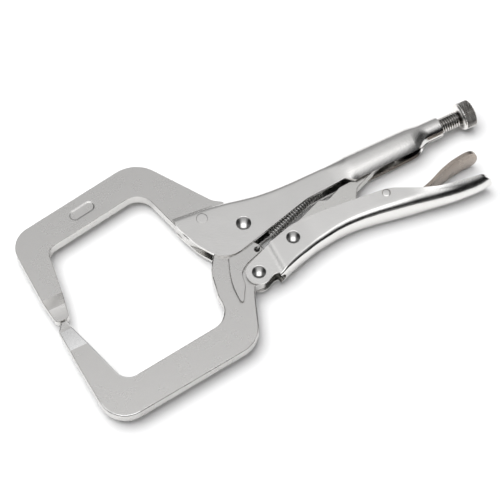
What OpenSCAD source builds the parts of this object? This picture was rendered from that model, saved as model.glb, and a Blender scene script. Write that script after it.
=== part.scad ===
// Locking C-clamp pliers: a toggle tool with two long C-shaped jaws, lying on its side.
// The plan is drawn about the main pivot, X along the handle and Z along the rivets.
// placed() then moves it so that the origin is under the middle of the whole tool.

/* [Jaws] */
// Distance from the main pivot to the outer back edge of the fixed jaw
reach = 124.4; // [104:0.2:150]
// Height of the fixed jaw's upper corner above the main pivot
upper_arm_h = 66.9; // [56:0.1:81]
// Depth of the moving jaw's lower corner below the main pivot
lower_arm_h = 78.2; // [65:0.1:94]
// Width of the fixed jaw's arm along the top of the throat
upper_arm_w = 18.6; // [15.5:0.1:22.4]
// Width of the moving jaw's arm along the bottom of the throat
lower_arm_w = 20.4; // [17:0.1:24.5]
// Width of the jaws' front bars
bar_w = 17.6; // [14.6:0.1:21]
// Thickness of both jaw plates
jaw_t = 7.6; // [6.3:0.1:9.1]
// Distance that the closed tips sit below the main pivot
tip_drop = 7.1; // [5.9:0.1:8.5]
// Gap between the closed tips
tip_gap = 0.6; // [0.4:0.1:1]
// Radius of the moving jaw's hub round the main pivot
hub_r = 12.8; // [11:0.1:13.2]

/* [Upper handle] */
// Distance from the main pivot to the rear end of the neck
handle_len = 135.6; // [125:0.1:162]
// Thickness of the upper handle's sheet
sheet_t = 2.3; // [1.9:0.1:2.7]
// Height of the screw's axis above the main pivot
screw_y = 7.1; // [6.6:0.1:7.6]
// Outer radius of the round grip
grip_r = 7.5; // [7.4:0.1:9]
// Outer radius of the threaded neck
neck_r = 6.3; // [6:0.1:6.9]
// Length of the threaded neck
neck_len = 12.1; // [10:0.1:14.5]

/* [Lever] */
// Distance from the main pivot to the rear end of the lever
lever_len = 141; // [128:0.1:160]
// Thickness of the lever's sheet
lever_t = 1.9; // [1.6:0.1:2.2]
// Greatest width of the lever
lever_w = 18.8; // [18:0.1:22.5]
// Width of the lever's narrow front part
lever_front_w = 13.2; // [13:0.1:15.8]
// Radius of the lever's ears
ear_r = 7.5; // [6.5:0.1:9]

/* [Link and release lever] */
// Thickness of the toggle link
link_t = 6.8; // [5.7:0.1:7]
// Distance between the toggle link's pin hole and its bearing end's centre
link_len = 82; // [78:0.1:84]
// Width of the release lever's thumb tail
release_w = 16.8; // [14:0.1:20]
// Thickness of the release lever's strip
release_t = 2; // [1.7:0.1:2.4]

/* [Rivets and pins] */
// Radius of the main rivet's shank
pivot_pin_r = 3.2; // [2.7:0.1:3.8]
// Radius of the main rivet's heads
pivot_head_r = 4.4; // [4.3:0.1:5.3]
// Radius of the two toggle rivets' shanks
toggle_pin_r = 2.9; // [2.4:0.1:3.4]
// Radius of the two toggle rivets' heads
toggle_head_r = 4.1; // [4:0.1:4.9]
// Height of the domed heads
head_h = 1.6; // [1.3:0.1:1.9]
// Radius of the flush rivet in the fixed jaw
flush_pin_r = 3.2; // [2.7:0.1:3.8]
// Radius of the release lever's pin
release_pin_r = 2.35; // [2:0.05:2.8]
// Radial clearance of every turning fit
run_gap = 0.05; // [0.02:0.01:0.09]
// Gap between a plate and the sheet beside it
side_gap = 0.05; // [0.04:0.01:0.2]

/* [Adjusting screw] */
// Outer diameter of the screw
screw_d = 10; // [9:0.1:10.3]
// Thread seen between the neck and the knob
screw_out = 13.4; // [11:0.1:16]
// Diameter of the knob
knob_d = 16.8; // [14:0.1:18]
// Length of the knob
knob_len = 8.7; // [7.3:0.1:10.4]

/* [Spring] */
// Outer diameter of the spring's coil
spring_d = 6; // [5:0.1:7]
// Diameter of the spring's wire
wire_d = 1; // [0.8:0.1:1.2]

/* [Hidden] */
$fn = 48;
// Places of the pins, from the main pivot
lever_pin = [-6.3, -31.5];
link_pin = [21, -21.2];
release_pin_at = [81.6, -21.4];
flush_pin_at = [-19.9, 13.6];
spring_hole = [-0.6, -17.8];
spring_tab = [57.5, 4.6];
link_tilt = 19.2;
link_end = link_pin + link_len * [cos(link_tilt), sin(link_tilt)];
link_end_r = 4;
joggle_x = 5.4;
// Half widths of the plates and of the sheets beside them
half_jaw = jaw_t / 2;
half_in = half_jaw + side_gap;
half_out = half_in + sheet_t;
ear_out = half_in + lever_t;
half_link = link_t / 2;
half_front = max(lever_front_w / 2, ear_out + 0.4);
half_lever = lever_w / 2;
pad_h = half_out - 0.5;
// The screw's tip stays clear of the link's end over the whole stroke
screw_tip_x = link_end.x + link_end_r + 5.6;
stub_r = screw_d / 2 - 1.4;
stub_len = knob_len - 2;
knob_x = handle_len + screw_out;
grip_x = 67;
neck_x = handle_len - neck_len;
taper_x = neck_x - 5;
lip_y = -3.4;
lip_in = 1.6;
lip_half = grip_r - sheet_t - lip_in;
tip_x = -reach + 7.3;
tip_y = -tip_drop;
slope_top = 0.162;
slope_bottom = 0.095;

// A unit vector along v
function unit(v) = v / norm(v);

// The arc that rounds corner b between a and c with radius r
function corner(a, b, c, r, n) =
    let (
        u = unit(a - b),
        v = unit(c - b),
        half = acos(u * v) / 2,
        p = b + u * r / tan(half),
        q = b + v * r / tan(half),
        m = b + unit(u + v) * r / sin(half),
        a0 = atan2(p.y - m.y, p.x - m.x),
        a1 = atan2(q.y - m.y, q.x - m.x),
        step = a1 - a0 > 180 ? a1 - a0 - 360 : a1 - a0 < -180 ? a1 - a0 + 360 : a1 - a0
    )
    r == 0 ? [b] : [for (i = [0:n]) m + r * [cos(a0 + step * i / n), sin(a0 + step * i / n)]];

// A closed outline from corners [x, y, radius]
function rounded(corners, n = 6) =
    [for (i = [0:len(corners) - 1])
        let (
            a = corners[(i + len(corners) - 1) % len(corners)],
            b = corners[i],
            c = corners[(i + 1) % len(corners)]
        )
        each corner([a.x, a.y], [b.x, b.y], [c.x, c.y], b[2], n)];

// The fixed jaw: tip, front bar, upper arm, and the root that the handle grips
function fixed_jaw_outline() = rounded([
    [tip_x - 4, tip_y + tip_gap / 2, 2.6],
    [-reach + 1.4, tip_y + 15, 20],
    [-reach, upper_arm_h - slope_top * (reach - 37.7), 14],
    [-37.7, upper_arm_h, 20],
    [-9, 22.8, 5],
    [-3.6, 19, 1],
    [-3.6, 8, 0],
    [-20, 2, 0],
    [-31, 2, 2],
    [-34, 14, 20],
    [-43.2, upper_arm_h - upper_arm_w - 1, 11],
    [-reach + bar_w, upper_arm_h - upper_arm_w - 1 - slope_top * (reach - bar_w - 43.2), 6],
    [-reach + bar_w - 3.4, tip_y + 17, 20],
    [tip_x + 4.1, tip_y + tip_gap / 2, 2.6]
]);

// The moving jaw: tip, front bar, lower arm, and the neck that rises to both pivots
function moving_jaw_outline() = rounded([
    [tip_x - 1.6, tip_y - tip_gap / 2, 1.2],
    [-reach + 2, tip_y - 5, 2],
    [-reach + 3.2, -39, 60],
    [-reach + 5.5, -lower_arm_h, 16],
    [-24.7, -lower_arm_h + slope_bottom * (reach - 30.2), 17],
    [-14.3, -42.6, 8],
    [-11.6, -37.6, 1],
    [-6, -38.1, 2],
    [0.5, -31, 3],
    [3.6, -18, 3],
    [8.5, -9.5, 0],
    [0, 0, 0],
    [-12, 4, 0],
    [-20.5, -3.5, 6],
    [-28.8, -18, 22],
    [-33.2, -33, 14],
    [-33.2, -lower_arm_h + lower_arm_w + slope_bottom * (reach - 30.2), 12],
    [-reach + 22.9, -lower_arm_h + lower_arm_w + 1.6, 8.5],
    [-reach + 9.8, tip_y - 4.2, 2],
    [tip_x + 1.6, tip_y - tip_gap / 2, 1.2]
]);

// The raised pad on both faces of the moving jaw: a fang with a lug for the spring
function pad_outline() = rounded([
    [-17.6, -15.6, 0.6],
    [-23.6, -30, 14],
    [-23.8, -46.6, 1.2],
    [-16.6, -35, 4],
    [-15.2, -27, 7],
    [-9, -23.4, 4],
    [1.6, -19.7, 2.2],
    [2, -15.4, 2.2],
    [-6, -14.9, 4],
    [-14, -15.7, 3]
]);

// The handle's cheek, seen from the side
function cheek_outline() = rounded([
    [-35.4, 21, 1.4],
    [-34.9, 14.5, 14],
    [-29.6, -0.8, 20],
    [-20, -16.6, 15],
    [38.5, -2.2, 20],
    [grip_x, -0.8, 0],
    [grip_x, screw_y + grip_r, 0],
    [38, screw_y + grip_r, 30],
    [15, 16.2, 30],
    [-3.6, 21.4, 0]
]);

// The lever's spine, seen from the side: a list of points from front to rear
function spine() = [
    [3.4, -36.4], [10, -37.4], [19, -34.4], [33, -31.1], [54, -29.3], [72, -31.4], [96, -36],
    [116, -39.8], [lever_len - 10, -41.3], [lever_len - 3, -40.6], [lever_len, -39.2]
];

// The lever's lip, seen from the side: a list of points from rear to front
function lip() = [
    [lever_len, -37.6], [lever_len - 4, -36], [118, -32.6], [111, -31.4], [101, -27.6],
    [89, -20.6], [81, -18.4], [54, -15.2], [30, -13.2], [22, -13.9], [9, -17.7], [3.4, -19.8]
];

// The toggle link between its pin and its bearing end in the grip
function link_outline() = rounded([
    [14, -24, 4],
    [15, -15.5, 5],
    [30, -11.3, 6],
    [46, -5.2, 3],
    [51, -7.4, 2],
    [61, -3.2, 6],
    [80, -1.8, 6],
    [link_end.x - 5.2, link_end.y + link_end_r - 0.6, 4],
    [link_end.x + link_end_r, link_end.y + link_end_r + 0.2, 3.4],
    [link_end.x + link_end_r, link_end.y - link_end_r, 3.4],
    [link_end.x - 12, link_end.y - link_end_r - 3.6, 8],
    [71, -8.4, 6],
    [66.2, -16.5, 2],
    [40, -21, 8],
    [22, -29, 6]
]);

// The release lever's strip, seen from the side, from its nose to its thumb tail
function release_line() = [
    [66, -19.4], [74, -20.6], [81.6, -21.4], [92, -25], [102, -26.6], [110, -25], [118, -22],
    [126, -20.2], [134, -19.2], [lever_len - 0.4, -19.3]
];

// Moves the plan so that the origin is under the middle of the tool
module placed() {
    top = max([for (p = fixed_jaw_outline()) p.y]);
    low = min([for (p = moving_jaw_outline()) p.y]);
    rear = knob_x + knob_len;
    translate([(reach - rear) / 2, -(top + low) / 2, half_lever]) children();
}

// A plate of the given half thickness about the middle plane
module plate(points, half) {
    translate([0, 0, -half]) linear_extrude(2 * half) polygon(points);
}

// A straight pin of the given half length about the middle plane
module pin(at, r, half) {
    translate([at.x, at.y, -half]) cylinder(r = r, h = 2 * half);
}

// A rivet with a domed head on each face of what it holds
module domed_rivet(at, shank_r, head_r, half) {
    ball = (head_r * head_r + head_h * head_h) / (2 * head_h);
    arc = asin(head_r / ball);
    dome = [for (i = [0:8]) (ball * [sin(arc * i / 8), cos(arc * i / 8)]) + [0, half + head_h - ball]];
    half_profile = concat(dome, [[shank_r, half], [shank_r, 0], [0, 0]]);
    translate([at.x, at.y, 0]) {
        rotate_extrude() polygon(half_profile);
        mirror([0, 0, 1]) rotate_extrude() polygon(half_profile);
    }
}

// The grip's cross-section: a round top of radius r with its sides drawn in towards the lips
module grip_section(r) {
    translate([screw_y, 0]) circle(r = r);
    polygon([[screw_y, 0.4 - r], [screw_y, r - 0.4], [lip_y, r - lip_in], [lip_y, lip_in - r]]);
}

// Carries a drawing in (Y, Z) along X from x0 to x1
module along_x(x0, x1) {
    translate([x0, 0, 0]) rotate([90, 0, 90]) linear_extrude(x1 - x0) children();
}

module upper_handle() {
    color("silver") difference() {
        union() {
            plate(cheek_outline(), half_out);
            along_x(grip_x, taper_x) grip_section(grip_r);
            translate([taper_x, screw_y, 0]) rotate([0, 90, 0])
                cylinder(r1 = grip_r, r2 = neck_r, h = neck_x - taper_x);
            translate([neck_x, screw_y, 0]) rotate([0, 90, 0]) cylinder(r = neck_r, h = neck_len);
        }
        // the slot that holds both jaws and the link, open below and in front
        translate([-60, -40, -half_in]) cube([56.4, 80, 2 * half_in]);
        difference() {
            translate([-4, -40, -half_in]) cube([grip_x + 4, 80, 2 * half_in]);
            translate([0, 0, -20]) linear_extrude(40) roof();
        }
        along_x(grip_x, taper_x) grip_section(grip_r - sheet_t);
        translate([grip_x, lip_y - 5, lip_half]) mirror([0, 0, 1]) cube([taper_x - grip_x, 10, 2 * lip_half]);
        translate([taper_x - 3, screw_y, 0]) rotate([0, 90, 0])
            cylinder(r = screw_d / 2 + run_gap, h = handle_len);
        pin([0, 0], pivot_pin_r, 20);
        pin(flush_pin_at, flush_pin_r, 20);
    }
    // the tab that the spring hooks on
    color("silver") difference() {
        translate([spring_tab.x - 1, spring_tab.y - 2.5, -1.5]) cube([2, screw_y + grip_r - spring_tab.y + 1, 3]);
        translate([spring_tab.x - 5, spring_tab.y, 0]) rotate([0, 90, 0]) cylinder(r = wire_d, h = 10);
    }
}

// The closed top of the channel, seen from the side
module roof() {
    polygon([
        [-3.6, 21.4 - sheet_t], [-3.6, 40], [grip_x + 5, 40], [grip_x + 5, screw_y + grip_r - sheet_t],
        [38, screw_y + grip_r - sheet_t], [15, 16.2 - sheet_t]
    ]);
}

module fixed_jaw() {
    color("gainsboro") difference() {
        plate(fixed_jaw_outline(), half_jaw);
        pin([0, 0], hub_r + 0.9, 10);
        pin(flush_pin_at, flush_pin_r, 10);
        tip_bevels(1);
    }
}

// The two slanting cuts that thin a jaw's tip; side is 1 for the fixed jaw and -1 for the moving one
module tip_bevels(side) {
    start = side > 0 ? 14 : 19;
    stop = side > 0 ? 7.5 : 6;
    thin = half_jaw - 1.3;
    for (face = [1, -1])
        translate([tip_x - 12, tip_y, 0]) rotate([90, 0, 90]) linear_extrude(30)
            polygon([
                [side * start, face * half_jaw], [side * stop, face * thin], [-side * 3, face * thin],
                [-side * 3, face * 10], [side * start, face * 10]
            ]);
}

module fixed_jaw_rivet() {
    color("silver") pin(flush_pin_at, flush_pin_r, half_out);
}

module pivot_rivet() {
    color("white") domed_rivet([0, 0], pivot_pin_r, pivot_head_r, half_out);
}

module moving_jaw() {
    color("gainsboro") difference() {
        union() {
            difference() {
                plate(moving_jaw_outline(), half_jaw);
                tip_bevels(-1);
            }
            pin([0, 0], hub_r, half_jaw);
            plate(pad_outline(), pad_h);
        }
        pin([0, 0], pivot_pin_r + run_gap, 10);
        pin(lever_pin, toggle_pin_r + run_gap, 10);
        pin(spring_hole, 1.5, 10);
    }
}

// The lever's half width at each place along it, as a top view
module lever_top_view(inset) {
    side = [
        [2, half_front - inset], [32, half_front - inset], [80, half_lever - 0.5 - inset],
        [104, half_lever - inset], [lever_len - 12, half_lever - 1 - inset],
        [lever_len - 4, half_lever - 4 - inset], [lever_len + (inset > 0 ? 5 : 0), half_lever - 7 - inset]
    ];
    back = [for (i = [len(side) - 1:-1:0]) [side[i].x, -side[i].y]];
    rotate([90, 0, 0]) translate([0, 0, -60]) linear_extrude(120) polygon(concat(side, back));
}

// One ear, seen from the side, as far back as x
module ear_outline(x) {
    edge = unit([0.934, 0.357]);
    start = lever_pin + ear_r * [-edge.y, edge.x];
    translate(lever_pin) circle(r = ear_r);
    intersection() {
        polygon([start, start + 24 * edge, [12, -37.2], [2.2, -36.2], [-3.5, -38.4], lever_pin]);
        translate([-30, -60]) square([30 + x, 60]);
    }
}

// The two ears that take the lever's rivet, with the joggle out to the lever's own width
module ears() {
    for (face = [0, 1]) mirror([0, 0, face]) translate([0, 0, half_in]) {
        linear_extrude(lever_t) ear_outline(joggle_x);
        linear_extrude(half_front - half_in) difference() {
            ear_outline(joggle_x + lever_t + 0.6);
            ear_outline(joggle_x);
        }
    }
}

module lever_handle() {
    raised = [for (p = spine()) [p.x, p.y + lever_t]];
    color("silver") difference() {
        union() {
            difference() {
                intersection() {
                    plate(concat(spine(), lip()), half_lever);
                    lever_top_view(0);
                }
                intersection() {
                    plate(concat([[-9, raised[0].y]], raised, [[lever_len + 9, 0], [-9, 0]]), half_lever);
                    lever_top_view(lever_t);
                }
                translate([-8, -60, -20]) cube([8 + joggle_x + 2, 60, 40]);
            }
            ears();
        }
        pin(lever_pin, toggle_pin_r, 20);
        pin(link_pin, toggle_pin_r, 20);
        pin(release_pin_at, release_pin_r, 20);
    }
}

module lever_rivet() {
    color("white") domed_rivet(lever_pin, toggle_pin_r, toggle_head_r, ear_out);
}

module toggle_link() {
    color("lightgray") difference() {
        plate(link_outline(), half_link);
        pin(link_pin, toggle_pin_r + run_gap, 10);
    }
}

module link_rivet() {
    color("white") domed_rivet(link_pin, toggle_pin_r, toggle_head_r, half_front);
}

module release_lever() {
    line = release_line();
    low = [for (i = [len(line) - 1:-1:0]) [line[i].x, line[i].y - release_t]];
    slim = half_lever - lever_t - 2.4;
    end_x = lever_len;
    view = [
        [60, slim], [100, slim], [112, release_w / 2], [end_x - 9, release_w / 2], [end_x - 3, release_w / 2 - 2.8],
        [end_x, release_w / 2 - 6.4]
    ];
    back = [for (i = [len(view) - 1:-1:0]) [view[i].x, -view[i].y]];
    color("lightgray") difference() {
        union() {
            intersection() {
                plate(concat(line, low), 12);
                rotate([90, 0, 0]) translate([0, 0, -60]) linear_extrude(120) polygon(concat(view, back));
            }
            pin(release_pin_at, release_pin_r + 1.5, slim);
        }
        pin(release_pin_at, release_pin_r + run_gap, 20);
    }
}

module release_pin() {
    color("silver") pin(release_pin_at, release_pin_r, half_lever - 0.4);
}

module adjusting_screw() {
    color("silver") translate([0, screw_y, 0]) rotate([0, 90, 0]) {
        translate([0, 0, screw_tip_x]) cylinder(r1 = screw_d / 2 - 2, r2 = screw_d / 2, h = 2);
        translate([0, 0, screw_tip_x + 2]) cylinder(r = screw_d / 2, h = knob_x - screw_tip_x - 2);
        translate([0, 0, knob_x]) cylinder(r = stub_r, h = stub_len);
    }
}

module screw_knob() {
    r = knob_d / 2;
    color("silver") translate([knob_x, screw_y, 0]) rotate([0, 90, 0]) difference() {
        rotate_extrude() polygon([
            [0, 0.05], [r - 0.8, 0.05], [r, 0.85], [r, knob_len - 0.8], [r - 0.8, knob_len], [0, knob_len]
        ]);
        translate([0, 0, -1]) cylinder(r = stub_r + run_gap, h = stub_len + 1.05);
    }
}

// A closed round tube of 10 sides through stations [place, radius], bending only in the plane across side
module swept(stations, side) {
    count = len(stations);
    sides = 10;
    rings = [for (i = [0:count - 1])
        let (
            run = stations[min(i + 1, count - 1)][0] - stations[max(i - 1, 0)][0],
            up = unit(cross(run, side))
        )
        for (k = [0:sides - 1])
            stations[i][0] + stations[i][1] * (cos(360 * k / sides) * side + sin(360 * k / sides) * up)];
    walls = [for (i = [0:count - 2], k = [0:sides - 1])
        let (next = (k + 1) % sides)
        [i * sides + k, i * sides + next, (i + 1) * sides + next, (i + 1) * sides + k]];
    first = [for (k = [sides - 1:-1:0]) k];
    last = [for (k = [0:sides - 1]) (count - 1) * sides + k];
    polyhedron(rings, concat(walls, [first, last]));
}

// The coil, its hook over the moving jaw's pad into the hole, and its hook on the handle's tab
module jaw_spring() {
    from = [11.2, -12.6, 0];
    to = [spring_tab.x - 5, spring_tab.y - 1.5, 0];
    ahead = unit(to - from);
    over = pad_h + wire_d / 2 + 0.3;
    hole = [spring_hole.x, spring_hole.y, 0];
    thin = wire_d / 2;
    color("gray") swept([
        [hole + [0, 0, -1], thin], [hole + [0, 0, over - 1], thin], [hole + [0.8, 0.3, over], thin],
        [hole + [3.6, 1.5, over], thin], [hole + [7.4, 3.2, over - 2], thin], [from, thin],
        [from + 0.5 * ahead, spring_d / 2], [to, spring_d / 2], [to + 0.5 * ahead, thin],
        [[spring_tab.x, spring_tab.y, 0], thin]
    ], [-ahead.y, ahead.x, 0]);
}

placed() upper_handle();
placed() fixed_jaw();
placed() fixed_jaw_rivet();
placed() pivot_rivet();
placed() moving_jaw();
placed() lever_handle();
placed() lever_rivet();
placed() toggle_link();
placed() link_rivet();
placed() release_lever();
placed() release_pin();
placed() adjusting_screw();
placed() screw_knob();
placed() jaw_spring();
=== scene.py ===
# Locking C-clamp pliers in bright nickel plate, drawn in mm about the main pivot with the jaws towards -X.
import math

import bmesh
import bpy
import numpy as np
from mathutils import Matrix, Vector


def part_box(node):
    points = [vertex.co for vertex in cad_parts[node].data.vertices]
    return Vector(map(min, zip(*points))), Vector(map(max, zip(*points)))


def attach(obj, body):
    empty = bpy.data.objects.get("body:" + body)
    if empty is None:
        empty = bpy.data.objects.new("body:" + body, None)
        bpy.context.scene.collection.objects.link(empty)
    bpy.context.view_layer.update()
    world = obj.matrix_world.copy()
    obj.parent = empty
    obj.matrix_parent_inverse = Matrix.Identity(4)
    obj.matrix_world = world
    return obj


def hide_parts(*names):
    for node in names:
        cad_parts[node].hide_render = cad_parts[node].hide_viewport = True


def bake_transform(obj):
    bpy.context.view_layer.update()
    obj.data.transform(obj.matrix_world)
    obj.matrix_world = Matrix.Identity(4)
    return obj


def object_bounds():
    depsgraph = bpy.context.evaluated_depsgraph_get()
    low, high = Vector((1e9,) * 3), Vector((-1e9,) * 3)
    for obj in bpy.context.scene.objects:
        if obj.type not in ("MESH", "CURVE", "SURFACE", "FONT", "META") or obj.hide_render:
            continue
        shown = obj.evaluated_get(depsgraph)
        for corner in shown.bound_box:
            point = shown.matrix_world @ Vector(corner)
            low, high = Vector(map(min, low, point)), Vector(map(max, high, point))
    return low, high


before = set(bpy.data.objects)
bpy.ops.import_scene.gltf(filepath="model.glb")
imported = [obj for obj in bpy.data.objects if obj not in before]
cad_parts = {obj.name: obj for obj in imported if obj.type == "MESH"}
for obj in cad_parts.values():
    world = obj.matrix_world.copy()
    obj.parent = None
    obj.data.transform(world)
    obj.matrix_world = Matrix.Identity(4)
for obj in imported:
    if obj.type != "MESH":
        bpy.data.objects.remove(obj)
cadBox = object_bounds()
pivotLow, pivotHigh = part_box("pivot_rivet")
pivot = (pivotLow + pivotHigh) / 2
toFrame = Matrix.Translation(pivot) @ Matrix.Scale(0.001, 4)


def sizeOf(node):
    low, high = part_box(node)
    return (high - low) * 1000


def placeOf(node):
    low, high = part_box(node)
    return ((low + high) / 2 - pivot) * 1000


halfJaw = sizeOf("fixed_jaw").z / 2
halfCheek = sizeOf("fixed_jaw_rivet").z / 2
leverPin = placeOf("lever_rivet")
linkPin = placeOf("link_rivet")
releasePin = placeOf("release_pin")
flushPin = placeOf("fixed_jaw_rivet")
screwAxis = placeOf("screw_knob")
tipsBeyond = 95  # the jaw tips lie farther ahead of the pivot than this
print("frame loaded")

# Mesh tools


def arcCorner(before, at, after, radius, steps):
    u = (before - at).normalized()
    v = (after - at).normalized()
    half = u.angle(v) / 2
    if radius == 0 or half > 1.565:
        return [at]
    middle = at + (u + v).normalized() * radius / math.sin(half)
    first = at + u * radius / math.tan(half) - middle
    last = at + v * radius / math.tan(half) - middle
    turn = math.atan2(first.x * last.y - first.y * last.x, first.dot(last))
    points = []
    for i in range(steps + 1):
        a = turn * i / steps
        c, s = math.cos(a), math.sin(a)
        points.append(middle + Vector((c * first.x - s * first.y, s * first.x + c * first.y)))
    return points


def outlineFrom(corners, steps=10):  # corners are (x, y, radius)
    points = []
    for i, (x, y, radius) in enumerate(corners):
        before = Vector(corners[i - 1][:2])
        after = Vector(corners[(i + 1) % len(corners)][:2])
        points += arcCorner(before, Vector((x, y)), after, radius, steps)
    kept = [p for i, p in enumerate(points) if (p - points[i - 1]).length > 0.02]
    return [(p.x, p.y) for p in kept]


def objectFrom(name, verts, faces):
    mesh = bpy.data.meshes.new(name)
    mesh.from_pydata([tuple(v) for v in verts], [], faces)
    mesh.validate()
    obj = bpy.data.objects.new(name, mesh)
    bpy.context.scene.collection.objects.link(obj)
    edit = bmesh.new()
    edit.from_mesh(mesh)
    bmesh.ops.remove_doubles(edit, verts=edit.verts, dist=1e-4)
    bmesh.ops.recalc_face_normals(edit, faces=edit.faces)
    edit.to_mesh(mesh)
    edit.free()
    return obj


def prism(name, outline, low, high, axis="z"):
    # an outline in (x, y) carried along z, or one in (x, z) carried along y
    count = len(outline)
    verts = [(a, b, level) if axis == "z" else (a, level, b) for level in (low, high) for a, b in outline]
    faces = [list(range(count))[::-1], list(range(count, 2 * count))]
    faces += [[i, (i + 1) % count, count + (i + 1) % count, count + i] for i in range(count)]
    return objectFrom(name, verts, faces)


def lathe(name, profile, place, along="z", turns=64, mirrored=False):
    # profile is (radius, height) from the axis at one end to the axis at the other
    sides = list(profile)
    if mirrored:
        sides += [(r, -h) for r, h in profile[::-1]]
    verts, faces = [], []
    for r, h in sides:
        for k in range(turns):
            a = 2 * math.pi * k / turns
            p = (r * math.cos(a), r * math.sin(a), h)
            verts.append(Vector(p if along == "z" else (p[2], p[0], p[1])) + Vector(place))
    for i in range(len(sides) - 1):
        for k in range(turns):
            n = (k + 1) % turns
            faces.append([i * turns + k, i * turns + n, (i + 1) * turns + n, (i + 1) * turns + k])
    return objectFrom(name, verts, faces)


def shell(name, sections):
    # each section is (outer points, inner points) as equal rows; the result is a closed folded sheet
    rows = len(sections[0][0])
    verts, faces = [], []
    for outer, inner in sections:
        verts += list(outer) + list(inner)
    ring = 2 * rows
    for i in range(len(sections) - 1):
        a, b = i * ring, (i + 1) * ring
        for k in range(rows - 1):
            faces.append([a + k, a + k + 1, b + k + 1, b + k])
            faces.append([a + rows + k + 1, a + rows + k, b + rows + k, b + rows + k + 1])
        for k in (0, rows - 1):
            faces.append([a + k, b + k, b + rows + k, a + rows + k])
    for a in (0, (len(sections) - 1) * ring):
        for k in range(rows - 1):
            faces.append([a + k, a + k + 1, a + rows + k + 1, a + rows + k])
    return objectFrom(name, verts, faces)


def evaluated(obj):
    # the object's mesh with every modifier applied
    bpy.context.view_layer.update()
    depsgraph = bpy.context.evaluated_depsgraph_get()
    done = bpy.data.meshes.new_from_object(obj.evaluated_get(depsgraph), depsgraph=depsgraph)
    obj.modifiers.clear()
    obj.data = done
    return obj


def cut(obj, tool, operation="DIFFERENCE"):
    change = obj.modifiers.new("cut", "BOOLEAN")
    change.object = tool
    change.operation = operation
    change.solver = "EXACT"
    evaluated(obj)
    bpy.data.objects.remove(tool)
    return obj


def drill(obj, radius, x, y, reach=9, turns=64):
    rod = [(0, -reach), (radius, -reach), (radius, reach), (0, reach)]
    return cut(obj, lathe("holeTool", rod, (x, y, 0), turns=turns))


def soften(obj, width, segments=3, angle=35):
    change = obj.modifiers.new("soften", "BEVEL")
    change.width = width
    change.segments = segments
    change.limit_method = "ANGLE"
    change.angle_limit = math.radians(angle)
    change.use_clamp_overlap = True
    return evaluated(obj)


def shadeByAngle(obj, angle=30):
    edit = bmesh.new()
    edit.from_mesh(obj.data)
    bmesh.ops.remove_doubles(edit, verts=edit.verts, dist=1e-4)
    bmesh.ops.dissolve_degenerate(edit, edges=edit.edges, dist=1e-4)
    bmesh.ops.holes_fill(edit, edges=[edge for edge in edit.edges if edge.is_boundary])
    bmesh.ops.delete(edit, geom=[edge for edge in edit.edges if edge.is_wire], context="EDGES")
    for face in edit.faces:
        face.smooth = True
    for edge in edit.edges:
        paired = len(edge.link_faces) == 2
        edge.smooth = paired and edge.calc_face_angle(0) < math.radians(angle)
    edit.to_mesh(obj.data)
    edit.free()
    change = obj.modifiers.new("flatFaces", "WEIGHTED_NORMAL")
    change.keep_sharp = True
    return evaluated(obj)


def valueAt(keys, x, reach=2.0):
    # a table of (x, value) read with its corners rounded over reach
    xs = [k[0] for k in keys]
    ys = [k[1] for k in keys]
    return float(np.mean([np.interp(x + d, xs, ys) for d in np.linspace(-reach, reach, 9)]))


def offsetRow(points, distance):
    # moves a row of (y, z) points sideways by distance
    row = np.array(points)
    run = np.gradient(row, axis=0)
    run /= np.linalg.norm(run, axis=1)[:, None]
    return row + distance * np.stack([run[:, 1], -run[:, 0]], axis=1)


# Materials


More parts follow.
